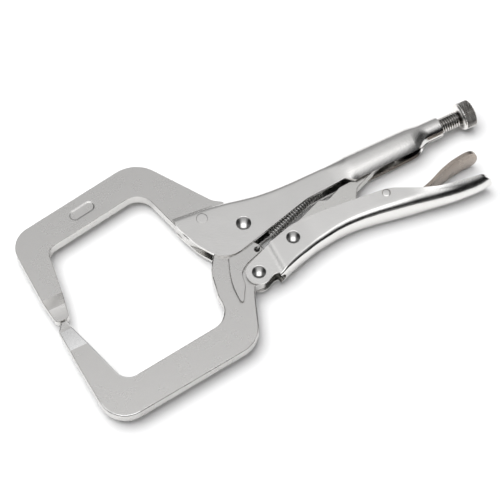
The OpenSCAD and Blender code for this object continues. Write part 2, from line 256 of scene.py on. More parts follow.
def metal(name, colour, rough, grain, grainSize, stain=0.0, streak=0.0, groove=None):
    material = bpy.data.materials.new(name)
    material.use_nodes = True
    nodes, links = material.node_tree.nodes, material.node_tree.links
    shader = nodes["Principled BSDF"]
    shader.inputs["Metallic"].default_value = 1.0
    shader.inputs["IOR"].default_value = 1.6
    coords = nodes.new("ShaderNodeTexCoord")

    def noise(scale, detail, stretch=(1, 1, 1)):
        mapping = nodes.new("ShaderNodeMapping")
        mapping.inputs["Scale"].default_value = stretch
        texture = nodes.new("ShaderNodeTexNoise")
        texture.inputs["Scale"].default_value = scale
        texture.inputs["Detail"].default_value = detail
        links.new(coords.outputs["Object"], mapping.inputs["Vector"])
        links.new(mapping.outputs["Vector"], texture.inputs["Vector"])
        return texture.outputs["Fac"]

    def spread(source, low, high, start=0.3, end=0.7):
        change = nodes.new("ShaderNodeMapRange")
        change.inputs["From Min"].default_value = start
        change.inputs["From Max"].default_value = end
        change.inputs["To Min"].default_value = low
        change.inputs["To Max"].default_value = high
        links.new(source, change.inputs["Value"])
        return change.outputs["Result"]

    fine = noise(grainSize, 3)
    broad = noise(90, 4)
    tint = nodes.new("ShaderNodeMix")
    tint.data_type = "RGBA"
    tint.inputs["A"].default_value = (*[c * (1 - stain) for c in colour], 1)
    tint.inputs["B"].default_value = (*colour, 1)
    links.new(spread(broad, 0, 1), tint.inputs["Factor"])
    speck = nodes.new("ShaderNodeMix")
    speck.data_type = "RGBA"
    speck.blend_type = "MULTIPLY"
    speck.inputs["B"].default_value = (0.86, 0.86, 0.87, 1)
    links.new(spread(fine, 0.35, 0), speck.inputs["Factor"])
    links.new(tint.outputs["Result"], speck.inputs["A"])
    links.new(speck.outputs["Result"], shader.inputs["Base Color"])
    if groove:  # painted shade: dark at the inner of two radii from the screw's axis, in mm, and fading to the plain colour by the outer one
        axis = toFrame @ Vector((0, screwAxis.y, 0))
        away = nodes.new("ShaderNodeVectorMath")
        away.operation = "SUBTRACT"
        away.inputs[1].default_value = axis
        flat = nodes.new("ShaderNodeVectorMath")
        flat.operation = "MULTIPLY"
        flat.inputs[1].default_value = (0, 1, 1)
        radius = nodes.new("ShaderNodeVectorMath")
        radius.operation = "LENGTH"
        links.new(coords.outputs["Object"], away.inputs[0])
        links.new(away.outputs["Vector"], flat.inputs[0])
        links.new(flat.outputs["Vector"], radius.inputs[0])
        shade = nodes.new("ShaderNodeMix")
        shade.data_type = "RGBA"
        # the painted shade's colour at the roots of the grooves
        shade.inputs["A"].default_value = (0.05, 0.045, 0.04, 1)
        low, high = (r / 1000 for r in groove)
        links.new(spread(radius.outputs["Value"], 0, 1, low, high), shade.inputs["Factor"])
        links.new(speck.outputs["Result"], shade.inputs["B"])
        links.new(shade.outputs["Result"], shader.inputs["Base Color"])
    links.new(spread(broad, rough * 0.85, rough * 1.2), shader.inputs["Roughness"])
    bump = nodes.new("ShaderNodeBump")
    bump.inputs["Strength"].default_value = grain
    bump.inputs["Distance"].default_value = 0.0003
    links.new(fine, bump.inputs["Height"])
    if streak:
        lines = noise(900, 2, (1, 12, 12))
        brushed = nodes.new("ShaderNodeBump")
        brushed.inputs["Strength"].default_value = streak
        brushed.inputs["Distance"].default_value = 0.0002
        links.new(lines, brushed.inputs["Height"])
        links.new(brushed.outputs["Normal"], bump.inputs["Normal"])
    links.new(bump.outputs["Normal"], shader.inputs["Normal"])
    return material


finishes = {
    "jaw": metal("blastedJawPlate", (0.72, 0.71, 0.69), 0.28, 0.28, 1900, 0.05),
    "sheet": metal("platedSheet", (0.83, 0.82, 0.80), 0.20, 0.22, 1300, 0.04),
    "lever": metal("platedLever", (0.86, 0.85, 0.83), 0.19, 0.18, 1300, 0.03),
    "link": metal("platedLink", (0.80, 0.79, 0.76), 0.30, 0.22, 1300, 0.05),
    "strip": metal("satinStrip", (0.46, 0.40, 0.35), 0.26, 0.16, 900, 0.10, 0.25),
    "rivet": metal("polishedRivet", (0.90, 0.89, 0.87), 0.10, 0.05, 1200, 0.02),
    # the screw and the knurled band carry painted shade in their grooves, between the two radii given
    "screw": metal("turnedScrew", (0.92, 0.90, 0.87), 0.24, 0.10, 1200, 0.06, groove=(4.12, 4.75)),
    "knob": metal("knurledKnob", (0.95, 0.93, 0.90), 0.26, 0.12, 1200, 0.06),
    "knurl": metal("knurlBandPaintedShade", (0.95, 0.93, 0.90), 0.26, 0.12, 1200, 0.06, groove=(7.8, 8.15)),
    # the slanted faces at the jaw tips: one ground finish in two copies, brightened with painted highlight
    # on the moving jaw and darkened with painted shade on the fixed jaw
    "groundTipPaintedHighlight": metal("groundTipPaintedHighlight", (0.99, 0.99, 0.98), 0.16, 0.10, 900, 0.03, 0.2),
    "groundTipPaintedShade": metal("groundTipPaintedShade", (0.52, 0.51, 0.49), 0.30, 0.10, 900, 0.03, 0.2),
    "spring": metal("springWire", (0.86, 0.85, 0.83), 0.34, 0.06, 1500, 0.08),
}
print(f"{len(finishes)} finishes made")


def deliver(obj, body, finish, slot, *nodes, angle=30, tip=None):
    # takes a finished piece from mm about the pivot into the frame, and hands it to its body
    shadeByAngle(obj, angle)
    obj.data.transform(toFrame)
    obj.data.materials.clear()
    obj.data.materials.append(finishes[finish])
    if tip:
        obj.data.materials.append(finishes[tip])
    # slanted faces near the tips take the second finish, a copy with painted highlight or painted shade
    tipEdge = pivot.x - tipsBeyond / 1000
    for polygon in obj.data.polygons:
        leaning = abs(polygon.normal.z) > 0.9 and abs(polygon.normal.y) > 0.03
        polygon.material_index = int(bool(tip) and leaning and polygon.center.x < tipEdge)
    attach(obj, body)
    if nodes:
        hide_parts(*nodes)
    print(f"{obj.name}: {len(obj.data.polygons)} faces")
    return obj


# The jaws

jawSizes = {
    "reach": 124.4,
    "upperArm": 66.9,
    "lowerArm": 78.2,
    "upperWidth": 18.6,
    "lowerWidth": 20.4,
    "barWidth": 17.6,
    "armFall": 0.162,
    "lowerRise": 0.095,
    "root": [(-9, 22.8, 5), (-3.6, 19, 1), (-3.6, 13, 0), (-11, 9.6, 0), (-14, 2, 0), (-26.5, -0.5, 3),
             (-33.4, 7.5, 10)],
    "heel": [(-14.3, -42.6, 8), (-11.6, -37.6, 1), (-6, -38.1, 2), (0.5, -31, 3), (3.6, -18, 3),
             (0.6, -11.8, 1), (7.5, -4.5, 3), (9, 6, 5), (0, 12.7, 6), (-9, 8.5, 5), (-12, 4, 3),
             (-20.5, -3.5, 6), (-30.2, -18, 20), (-33.2, -33, 14)],
    "tipY": -7.1,
    "tipGap": 0.6,
    "edge": 0.85,
    "panel": (-78.9, 50.9, 17.0, 7.4, 9.5),  # centre x and y, length, height, tilt in degrees
    "pad": [(-17.6, -15.6, 0.6), (-23.6, -30, 45), (-23.8, -46.6, 1.2), (-16.6, -35, 4), (-15.2, -27, 7),
            (-9, -23.4, 4), (1.9, -19.7, 1.4), (2.5, -17.0, 1.6), (-0.2, -13.4, 1.2), (-7, -15.1, 4),
            (-14, -15.9, 3)],
    "padHeight": halfCheek - 0.5,
    "padEdge": 0.3,
    "gap": (0.5, 0.15, 0.8),  # the gap's width along x and y, and its depth
    "thinning": 0.34,
    "rootBore": 3.2,
    "pivotBore": 3.25,
    "leverBore": 2.95,
    "springHole": (-0.7, -18.2, 1.5),
}


def tipThinned(obj, start, stop, side):
    # draws the plate in to a thinner tip between two heights
    edit = bmesh.new()
    edit.from_mesh(obj.data)
    for y in (start, stop):
        everything = edit.verts[:] + edit.edges[:] + edit.faces[:]
        bmesh.ops.bisect_plane(edit, geom=everything, plane_co=(0, y, 0), plane_no=(0, 1, 0), dist=1e-5)
    for vert in edit.verts:
        if vert.co.x < -tipsBeyond and side * (start - vert.co.y) >= 0:
            gone = (vert.co.y - start) / (stop - start)
            vert.co.z *= 1 - jawSizes["thinning"] * min(max(gone, 0), 1)
    edit.to_mesh(obj.data)
    edit.free()


def panelTool(x, y, length, height, tilt, depth=0.55, slope=1.3):
    # a shallow oval whose wall slopes in from the surface
    turn = math.radians(tilt)
    levels = [(halfJaw + 0.3, -0.6), (halfJaw, 0)]
    levels += [(halfJaw - depth * 0.75, slope * 0.6), (halfJaw - depth, slope)]
    rings = []
    for level, pull in levels:
        r = height / 2 - pull
        ends = [(side * (length - height) / 2, math.radians(a)) for side, first in ((1, -90), (-1, 90))
                for a in np.linspace(first, first + 180, 17)]
        rings.append([(cx + r * math.cos(a), r * math.sin(a), level) for cx, a in ends])
    cosine, sine = math.cos(turn), math.sin(turn)
    verts = [(x + px * cosine - py * sine, y + px * sine + py * cosine, z)
             for ring in rings for px, py, z in ring]
    count = len(rings[0])
    faces = [list(range(count)), list(range(3 * count, 4 * count))]
    for a in (0, count, 2 * count):
        for k in range(count):
            n = (k + 1) % count
            faces.append([a + k, a + n, a + count + n, a + count + k])
    return objectFrom("panelTool", verts, faces)


def makeFixedJaw(s):
    reach, arm, width = s["reach"], s["upperArm"], s["upperWidth"]
    tipX, tipEnd, bar = -reach + 7.3, s["tipY"] + s["tipGap"] / 2, s["barWidth"]
    innerTop = arm - width - 1
    outline = outlineFrom([
        (tipX - 4, tipEnd, 2.6), (-reach + 1.4, s["tipY"] + 15, 20),
        (-reach, arm - s["armFall"] * (reach - 37.7), 14), (-37.7, arm, 20), *s["root"],
        (-34.2, 14, 20), (-43.2, innerTop, 11),
        (-reach + bar, innerTop - s["armFall"] * (reach - bar - 43.2), 6),
        (-reach + bar - 3.4, s["tipY"] + 17, 20), (tipX + 4.1, tipEnd, 2.6),
    ])
    jaw = prism("fixedJaw", outline, -halfJaw, halfJaw)
    tipThinned(jaw, s["tipY"] + 16, s["tipY"] + 9.5, 1)
    soften(jaw, s["edge"])
    cut(jaw, panelTool(*s["panel"]))
    return drill(jaw, s["rootBore"], flushPin.x, flushPin.y)


def makeMovingJaw(s):
    reach, low, width = s["reach"], s["lowerArm"], s["lowerWidth"]
    tipX, tipEnd = -reach + 7.3, s["tipY"] - s["tipGap"] / 2
    rise = s["lowerRise"] * (reach - 30.2)
    outline = outlineFrom([
        (tipX - 1.6, tipEnd, 1.2), (-reach + 2, s["tipY"] - 5, 2), (-reach + 3.2, -39, 60),
        (-reach + 5.5, -low, 16), (-24.7, -low + rise, 17), *s["heel"], (-33.2, -low + width + rise, 12),
        (-reach + 22.9, -low + width + 1.6, 8.5), (-reach + 9.8, s["tipY"] - 4.2, 2),
        (tipX + 1.6, tipEnd, 1.2),
    ])
    jaw = prism("movingJaw", outline, -halfJaw, halfJaw)
    tipThinned(jaw, s["tipY"] - 19, s["tipY"] - 6, -1)
    soften(jaw, s["edge"])
    pad = outlineFrom(s["pad"])
    along, across, depth = s["gap"]
    for side in (-1, 1):  # a fine gap round the raised pad
        groove = [(x - along, y - across) for x, y in pad]
        cut(jaw, prism("gapTool", groove, side * (halfJaw - depth), side * (halfJaw + 0.3)))
    raised = soften(prism("padTool", pad, -s["padHeight"], s["padHeight"]), s["padEdge"])
    cut(jaw, raised, "UNION")
    x, y, r = s["springHole"]
    rim = s["padHeight"]
    mouth = r + 1.3
    throat = [(0, -rim - 1), (mouth, -rim - 1), (r, -rim + 0.3)]
    throat += [(radius, -h) for radius, h in throat[::-1]]
    cut(jaw, lathe("holeTool", throat, (x, y, 0)))
    drill(jaw, s["pivotBore"], 0, 0)
    return drill(jaw, s["leverBore"], leverPin.x, leverPin.y)


# the fixed jaw's tip slants get painted shade, the moving jaw's get painted highlight
deliver(makeFixedJaw(jawSizes), "handle", "jaw", "blasted_jaw", "fixed_jaw", tip="groundTipPaintedShade")
deliver(makeMovingJaw(jawSizes), "jaw", "jaw", "blasted_jaw", "moving_jaw", tip="groundTipPaintedHighlight")

# The upper handle

handleSizes = {
    "top": [(-40, 22.9), (-34, 22.4), (-24, 21.4), (-14, 20.2), (-5, 18.4), (4, 16.2), (14, 14.1),
            (24, 13.0), (36, 12.5), (57, 12.6), (64, 13.4), (72, 14.5), (114, 14.6), (117, 14.2),
            (122, 13.4), (140, 13.4)],
    "low": [(-40, -19), (61, -19), (67, -7), (72, -4.2), (78, -4.0), (90, -3.6), (111, -3.1), (116, -2.6),
            (122, 0.8), (140, 0.8)],
    "half": [(-40, halfCheek), (60, halfCheek), (66, 6.9), (72, 7.9), (113, 7.9), (117, 7.3), (122, 6.3),
             (140, 6.3)],
    "lipHalf": [(-40, halfCheek), (62, halfCheek), (68, 5.6), (73, 5.1), (113, 5.0), (117, 3.4), (122, 0.5),
                (140, 0.5)],
    "bend": [(-40, 4.6), (-24, 4.4), (0, 3.5), (56, 3.3), (63, 5.0), (72, 7.9), (113, 7.9), (122, 6.3),
             (140, 6.3)],
    "wrap": [(-40, 0), (112, 0), (121, 1), (140, 1)],
    "sheet": [(-40, 2.3), (62, 2.3), (74, 1.6), (112, 1.6), (120, 1.28), (140, 1.28)],
    "cheek": [(-35.0, 24.2, 2.2), (-34.9, 14.5, 14), (-29.6, -0.8, 20), (-19.5, -17.5, 15), (40, -2.3, 22),
              (65.5, -0.9, 2), (71, -4.1, 2), (80, -8, 0), (150, -8, 0), (150, 40, 0), (-6, 40, 0),
              (-6, 27, 0)],
    "slot": [(-60, 60, 0), (-60, -1, 0), (-40, -1, 0), (-4.2, 17.0, 0), (-2.2, 25, 0), (-2.2, 60, 0)],
    "slotGap": 0.03,
    "lipCurve": 2.6,
    "crown": 0.04,
    "rear": 133.4,
    "edge": 0.45,
    "rivetBore": 3.3,
}


def handleSection(s, x):
    top, low, half, lip = (valueAt(s[k], x) for k in ("top", "low", "half", "lipHalf"))
    bend, wrap, sheet = (valueAt(s[k], x) for k in ("bend", "wrap", "sheet"))
    bend = min(bend, half - 0.4)
    start = top - bend
    side = []
    for i in range(13):  # from the lip up to where the bend begins
        t = 1 - i / 12
        a = t * math.pi / 2
        curved = half - (half - lip) * t ** s["lipCurve"]
        z = (1 - wrap) * curved + wrap * (lip + (half - lip) * math.cos(a))
        y = start - (start - low) * ((1 - wrap) * t + wrap * math.sin(a))
        side.append((y, z))
    for i in range(1, 11):
        a = math.pi / 2 * i / 10
        side.append((start + bend * math.sin(a), half - bend + bend * math.cos(a)))
    flat = half - bend
    rise = s["crown"] * min(flat, 3)
    row = side + [(top + rise * (1 - (z / flat) ** 2), z) for z in (flat * 0.6, flat * 0.2)]
    row += [(y, -z) for y, z in row[::-1]]
    inner = offsetRow(row, sheet)
    return [(x, y, z) for y, z in row], [(x, y, z) for y, z in inner]


def makeUpperHandle(s):
    stations = list(np.arange(-37, 56, 3.0)) + list(np.arange(56, 80, 1.0)) + list(np.arange(80, 113, 3.0))
    stations += list(np.arange(113, 127, 0.75)) + [129, 131, s["rear"]]
    handle = shell("upperHandle", [handleSection(s, x) for x in stations])
    cut(handle, prism("cheekTool", outlineFrom(s["cheek"], 14), -20, 20), "INTERSECT")
    halfSlot = halfJaw + s["slotGap"]
    cut(handle, prism("slotTool", outlineFrom(s["slot"]), -halfSlot, halfSlot))
    soften(handle, s["edge"], 3, 40)
    return drill(handle, s["rivetBore"], flushPin.x, flushPin.y)


deliver(makeUpperHandle(handleSizes), "handle", "sheet", "plated_sheet", "upper_handle")

# The lever

leverSizes = {
    "lip": [(-20, -8), (4, -16), (9, -17.7), (22, -13.9), (30, -13.2), (42, -13.9), (54, -15.2),
            (68, -16.8), (81, -18.6), (86, -19.8), (93, -23.4), (101, -27.6), (111, -31.4), (118, -32.9),
            (128, -34.3), (137, -35.5), (148, -36.6)],
    "spine": [(-20, -46), (5, -38.8), (10, -37.2), (19, -34.4), (33, -31.1), (46, -29.5), (54, -29.3),
              (62, -29.9), (72, -31.4), (84, -33.7), (96, -36), (108, -38.4), (120, -40.4), (131, -41.3),
              (137, -41.2), (142, -40.4), (148, -38.8)],
    "half": [(-20, 5.75), (5.2, 5.75), (8.4, 6.6), (30, 6.6), (55, 7.7), (80, 8.9), (100, 9.4), (116, 9.3),
             (145, 7.8)],
    "bend": [(-20, 1.2), (5, 1.2), (14, 2.8), (40, 3.6), (60, 4.4), (80, 5.2), (100, 6.4), (122, 7.2),
             (145, 7.6)],
    "sheet": 1.9,
    "dish": [(-20, 0), (92, 0), (126, 1), (150, 1)],
    "spoonFrom": 118.0,
    "rear": 142.6,
    "edge": 0.4,
    "spoonHalf": 9.7,
    "ear": (7.5, 110.9, 292),  # radius, and the angles it starts and ends at
    "under": [((-3.4, -38.4), (0.6, -36.4), (3.4, -36.4), 4), ((0.6, -36.4), (3.6, -36.4), (4.6, -40), 1.2)],
    "beyond": [(5, -48), (160, -48), (160, -2), (20, -2), (11, -8), (8, -18.0)],
    "notch": [(-20, -4.4, 0), (7.6, -4.4, 4.2), (7.6, 4.4, 4.2), (-20, 4.4, 0)],
    "pinBore": 2.5,
}


def leverRow(lip, spine, half, bend, crown, dish):
    start = spine + bend
    row = [(lip + (start - lip) * i / 5, half) for i in range(6)]
    for i in range(1, 10):
        a = math.pi / 2 * i / 9
        row.append((start - bend * math.sin(a), half - bend + bend * math.cos(a)))
    flat = half - bend
    row += [(spine - crown * (1 - (z / flat) ** 2), z) for z in (flat * 0.75, flat * 0.45, flat * 0.15)]
    first = math.radians(20)
    for i, (y, z) in enumerate(row):  # towards the rear the fold opens out into a shallow dish
        a = first + (math.radians(88) - first) * i / (len(row) - 1)
        deep = (math.sin(a) - math.sin(first)) / (1 - math.sin(first))
        openY = lip + (spine - lip) * deep
        openZ = half * math.cos(a) / math.cos(first)
        row[i] = (y + (openY - y) * dish, z + (openZ - z) * dish)
    return row + [(y, -z) for y, z in row[::-1]]


def leverSection(s, x):
    lip, spine, half, bend = (valueAt(s[k], x, 1.2) for k in ("lip", "spine", "half", "bend"))
    sheet = s["sheet"]
    bend = min(bend, (lip - spine) * 0.9)
    dish = valueAt(s["dish"], x)
    outer = leverRow(lip, spine, half, bend, 0.25, dish)
    floor = min(spine + sheet, lip - 0.3)
    inner = leverRow(lip, floor, half - sheet, min(max(bend - sheet, 0.5), (lip - floor) * 0.8), 0.1, dish)
    return [(x, y, z) for y, z in outer], [(x, y, z) for y, z in inner]


def makeLever(s):
    stations = list(np.arange(-16, 4, 2.0)) + list(np.arange(4, 12, 0.5)) + list(np.arange(12, 90, 2.5))
    stations += list(np.arange(90, 128, 2.0)) + list(np.arange(128, 146, 1.5))
    lever = shell("leverHandle", [leverSection(s, x) for x in stations])
    r, first, last = s["ear"]
    ear = [(leverPin.x + r * math.cos(a), leverPin.y + r * math.sin(a))
           for a in np.radians(np.linspace(first, last, 40))]
    under = [tuple(p) for *corner, radius in s["under"] for p in arcCorner(*map(Vector, corner), radius, 6)]
    side = ear + under + s["beyond"]
    cut(lever, prism("earTool", side, -20, 20), "INTERSECT")
    start, rear = s["spoonFrom"], s["rear"]
    half = s["spoonHalf"]
    spoon = [(start + (rear - start) * t, half * math.sqrt(1 - t ** 4)) for t in np.linspace(0, 1, 25)]
    view = [(-30, -20), (start, -20)] + [(x, -z) for x, z in spoon]
    view += spoon[-2::-1] + [(start, 20), (-30, 20)]
    cut(lever, prism("endTool", view, -60, 0, axis="y"), "INTERSECT")
    cut(lever, prism("notchTool", outlineFrom(s["notch"]), -60, -30, axis="y"))
    soften(lever, s["edge"], 3, 40)
    return drill(lever, s["pinBore"], releasePin.x, releasePin.y, 12, 40)


deliver(makeLever(leverSizes), "lever", "lever", "plated_sheet", "lever_handle")

# The link and the release lever

linkSizes = {
    "length": 82,
    "tilt": 19.2,
    "above": [(14, -24, 4), (15, -15.5, 5), (30, -11.3, 6), (46, -5.2, 3), (51, -7.4, 2), (61, -3.2, 6),
              (80, -1.8, 6)],
    "nose": [(-5.2, 3.4, 4), (4, 4.2, 3.4), (4, -4, 3.4), (-12, -7.6, 8)],  # about the link's far end
    "below": [(69.7, -8.4, 6), (65, -16.5, 2), (40, -21, 8), (22, -29, 6)],
    "edge": 0.5,
    "bore": 2.95,
}


def makeLink(s, halfLink):
    tilt = math.radians(s["tilt"])
    length = s["length"]
    end = Vector((linkPin.x + length * math.cos(tilt), linkPin.y + length * math.sin(tilt)))
    outline = outlineFrom(s["above"] + [(end.x + x, end.y + y, r) for x, y, r in s["nose"]] + s["below"])
    link = soften(prism("toggleLink", outline, -halfLink, halfLink), s["edge"])
    return drill(link, s["bore"], linkPin.x, linkPin.y)


releaseSizes = {
    "line": [(66, -19.4), (74, -20.6), (81.6, -21.4), (92, -25), (102, -26.6), (110, -25), (118, -22),
             (126, -20.2), (134, -19.2), (143, -19.4)],
    "half": [(66, 5.1), (102, 5.1), (112, 8.0), (125, 9.0), (143, 9.0)],
    "thick": 2.0,
    "dish": 0.9,
    "dishHalf": 8.4,
    "dishFrom": 100,
    "dishOver": 20,
    "end": 7.5,
    "boss": (3.8, 5.1),
    "edge": 0.35,
    "bore": 2.4,
}


def makeRelease(s):
    rear = s["line"][-1][0]
    xs = list(np.arange(66, rear - s["end"], 2.0)) + list(np.linspace(rear - s["end"], rear, 14))
    verts, faces, across = [], [], 16
    for x in xs:
        y = valueAt(s["line"], min(x, rear - 2), 2.0)
        half = valueAt(s["half"], x, 1.5)
        into = max(0.0, x - (rear - s["end"])) / s["end"]
        half *= math.sqrt(max(1 - into ** 2.4, 0.0016))
        deep = min(1, max(0, x - s["dishFrom"]) / s["dishOver"])
        for level in (0, -s["thick"]):
            for k in range(across + 1):
                z = half * (2 * k / across - 1)
                sunk = s["dish"] * (1 - (z / s["dishHalf"]) ** 2) * deep
                verts.append((x, y + level - sunk, z))
    row = 2 * (across + 1)
    for i in range(len(xs) - 1):
        a, b = i * row, (i + 1) * row
        for k in range(across):
            faces.append([a + k, a + k + 1, b + k + 1, b + k])
            c, d = a + across + 1, b + across + 1
            faces.append([c + k, d + k, d + k + 1, c + k + 1])
        faces.append([a, b, b + across + 1, a + across + 1])
        faces.append([a + across, a + row - 1, b + row - 1, b + across])
    for a in (0, (len(xs) - 1) * row):
        faces += [[a + k, a + k + 1, a + across + 2 + k, a + across + 1 + k] for k in range(across)]
    strip = objectFrom("releaseLever", verts, faces)
    r, reach = s["boss"]
    boss = [(0, -reach), (r, -reach), (r, reach), (0, reach)]
    cut(strip, lathe("bossTool", boss, (releasePin.x, releasePin.y, 0), turns=40), "UNION")
    soften(strip, s["edge"], 2, 40)
    return drill(strip, s["bore"], releasePin.x, releasePin.y, turns=40)


deliver(makeLink(linkSizes, sizeOf("toggle_link").z / 2), "link", "link", "blasted_jaw", "toggle_link")
deliver(makeRelease(releaseSizes), "release", "strip", "satin_strip", "release_lever")

# Rivets and pins

domedSizes = {
    "pivotRivet": {"at": Vector((0, 0, 0)), "shank": 3.2, "head": 4.4, "height": 1.6, "seat": halfCheek,
                   "wear": ("handle", "rivet", "polished_rivet", "pivot_rivet")},
    "leverRivet": {"at": leverPin, "shank": 2.9, "head": 4.1, "height": 1.6, "seat": 5.75,
                   "wear": ("lever", "rivet", "polished_rivet", "lever_rivet")},
    "linkRivet": {"at": linkPin, "shank": 2.9, "head": 4.1, "height": 1.6, "seat": 6.6,
                  "wear": ("lever", "rivet", "polished_rivet", "link_rivet")},
}


def makeDomed(name, s):
    # a domed head with a small rounded rim at each end of a shank
    head, height, seat, shank = s["head"], s["height"], s["seat"], s["shank"]
    ball = (head * head + height * height) / (2 * height)
    arc = math.asin((head - 0.25) / ball)
    turns = [arc * i / 14 for i in range(15)]
    profile = [(ball * math.sin(a), seat + height - ball + ball * math.cos(a)) for a in turns]
    profile += [(head - 0.05, seat + 0.28), (head, seat + 0.12), (head - 0.05, seat)]
    profile += [(shank, seat), (shank, 0)]
    return lathe(name, profile, (s["at"].x, s["at"].y, 0), mirrored=True)


flushSizes = {
    "fixedJawRivet": {"at": flushPin, "radius": 3.2, "half": halfCheek - 0.02, "proud": 0.0,
                      "wear": ("handle", "sheet", "plated_sheet", "fixed_jaw_rivet")},
    "releasePin": {"at": releasePin, "radius": 2.35, "half": 8.82, "proud": 0.12,
                   "wear": ("lever", "rivet", "polished_rivet", "release_pin")},
}


def makeFlush(name, s):
    radius, half, proud = s["radius"], s["half"], s["proud"]
    profile = [(0, half + proud), (radius * 0.55, half + proud * 0.9), (radius - 0.35, half + proud * 0.35),
               (radius - 0.12, half - 0.04), (radius, half - 0.2), (radius, 0)]
    return lathe(name, profile, (s["at"].x, s["at"].y, 0), mirrored=True)


for make, rivets in ((makeDomed, domedSizes), (makeFlush, flushSizes)):
    for rivet, values in rivets.items():
        deliver(make(rivet, values), *values["wear"])

# Geometry Nodes: thread, knurl and spring


def treeFor(name, inputs):
    tree = bpy.data.node_groups.new(name, "GeometryNodeTree")
    tree.interface.new_socket("Geometry", in_out="INPUT", socket_type="NodeSocketGeometry")
    for label, kind, value in inputs:
        socket = tree.interface.new_socket(label, in_out="INPUT", socket_type="NodeSocket" + kind)
        socket.default_value = value
    tree.interface.new_socket("Geometry", in_out="OUTPUT", socket_type="NodeSocketGeometry")
    return tree, tree.nodes.new("NodeGroupInput"), tree.nodes.new("NodeGroupOutput")


def finishTree(tree, geometry, material, output):
    realize = tree.nodes.new("GeometryNodeRealizeInstances")
    paint = tree.nodes.new("GeometryNodeSetMaterial")
    paint.inputs["Material"].default_value = material
    tree.links.new(geometry, realize.inputs["Geometry"])
    tree.links.new(realize.outputs["Geometry"], paint.inputs["Geometry"])
    tree.links.new(paint.outputs["Geometry"], output.inputs["Geometry"])


def grown(obj, tree, values):
    # runs the tree on the object with its named inputs set, and leaves a plain mesh
    change = obj.modifiers.new("grow", "NODES")
    change.node_group = tree
    sockets = {s.name: s.identifier for s in tree.interface.items_tree if s.in_out == "INPUT"}
    for label, value in values.items():
        change[sockets[label]] = value
    depsgraph = bpy.context.evaluated_depsgraph_get()
    mesh = bpy.data.meshes.new_from_object(obj.evaluated_get(depsgraph), depsgraph=depsgraph)
    name = obj.name
    bpy.data.objects.remove(obj)
    mesh.name = name
    plain = bpy.data.objects.new(name, mesh)
    bpy.context.scene.collection.objects.link(plain)
    return plain


def mathNode(tree, operation, first, second):
    node = tree.nodes.new("ShaderNodeMath")
    node.operation = operation
    for socket, value in zip(node.inputs, (first, second)):
        if isinstance(value, (int, float)):
            socket.default_value = value
        elif value is not None:
            tree.links.new(value, socket)
    return node.outputs[0]


def triangleWave(tree, value):
    # runs 0, 1, 0 over each whole step of value
    part = mathNode(tree, "FRACT", value, None)
    centred = mathNode(tree, "SUBTRACT", mathNode(tree, "MULTIPLY", part, 2.0), 1.0)
    return mathNode(tree, "SUBTRACT", 1.0, mathNode(tree, "ABSOLUTE", centred, None))


def roundAxis(tree):
    # the place along the screw's axis, the angle round it in turns, and the outward direction's parts
    where = tree.nodes.new("ShaderNodeSeparateXYZ")
    tree.links.new(tree.nodes.new("GeometryNodeInputPosition").outputs["Position"], where.inputs["Vector"])
    y = mathNode(tree, "SUBTRACT", where.outputs["Y"], screwAxis.y)
    turn = mathNode(tree, "ARCTAN2", where.outputs["Z"], y)
    parts = mathNode(tree, "COSINE", turn, None), mathNode(tree, "SINE", turn, None)
    return where.outputs["X"], mathNode(tree, "DIVIDE", turn, 2 * math.pi), parts


def faded(tree, x, start, end, over):
    # 1 between start and end, falling to 0 outside them
    gaps = [mathNode(tree, "SUBTRACT", *pair) for pair in ((x, start), (end, x))]
    least = mathNode(tree, "MINIMUM", *[mathNode(tree, "DIVIDE", gap, over) for gap in gaps])
    return mathNode(tree, "MINIMUM", mathNode(tree, "MAXIMUM", least, 0.0), 1.0)


def pushedOut(tree, entry, output, height, parts, material):
    push = tree.nodes.new("ShaderNodeCombineXYZ")
    tree.links.new(mathNode(tree, "MULTIPLY", height, parts[0]), push.inputs["Y"])
    tree.links.new(mathNode(tree, "MULTIPLY", height, parts[1]), push.inputs["Z"])
    move = tree.nodes.new("GeometryNodeSetPosition")
    tree.links.new(entry.outputs["Geometry"], move.inputs["Geometry"])
    tree.links.new(push.outputs["Vector"], move.inputs["Offset"])
    finishTree(tree, move.outputs["Geometry"], material, output)


def threadTree():
    # raises a helical ridge on the round core that comes in
    tree, entry, output = treeFor("threadRidge", [("Crest height", "Float", 0.8), ("Pitch", "Float", 1.5),
                                                  ("Start", "Float", 110.0), ("End", "Float", 148.0)])
    x, turn, parts = roundAxis(tree)
    along = mathNode(tree, "DIVIDE", x, entry.outputs["Pitch"])
    ridge = mathNode(tree, "POWER", triangleWave(tree, mathNode(tree, "SUBTRACT", along, turn)), 0.7)
    fade = faded(tree, x, entry.outputs["Start"], entry.outputs["End"], 0.8)
    raised = mathNode(tree, "MULTIPLY", ridge, fade)
    height = mathNode(tree, "MULTIPLY", raised, entry.outputs["Crest height"])
    pushedOut(tree, entry, output, height, parts, finishes["screw"])
    return tree


screwSizes = {
    "tip": 108.0,
    "crest": 4.97,
    "root": 4.05,
    "pitch": 1.5,
    "threadFrom": 112.0,
    "knobAt": 147.2,
    "stub": (3.6, 6.6),  # radius and length inside the knob
}


def makeScrew(s):
    tip, root, knobAt = s["tip"], s["root"], s["knobAt"]
    stub, inside = s["stub"]
    core = [(0, tip), (3.0, tip), (root, tip + 1.6)]
    core += [(root, x) for x in np.arange(tip + 2, knobAt - 0.7, 0.125)]
    core += [(root, knobAt - 0.6), (3.4, knobAt - 0.2), (stub, knobAt), (stub, knobAt + inside)]
    core += [(0, knobAt + inside)]
    shank = lathe("adjustingScrew", core, (0, screwAxis.y, 0), along="x", turns=48)
    values = {"Crest height": s["crest"] - root, "Pitch": s["pitch"],
              "Start": s["threadFrom"], "End": knobAt - 0.6}
    return grown(shank, threadTree(), values)


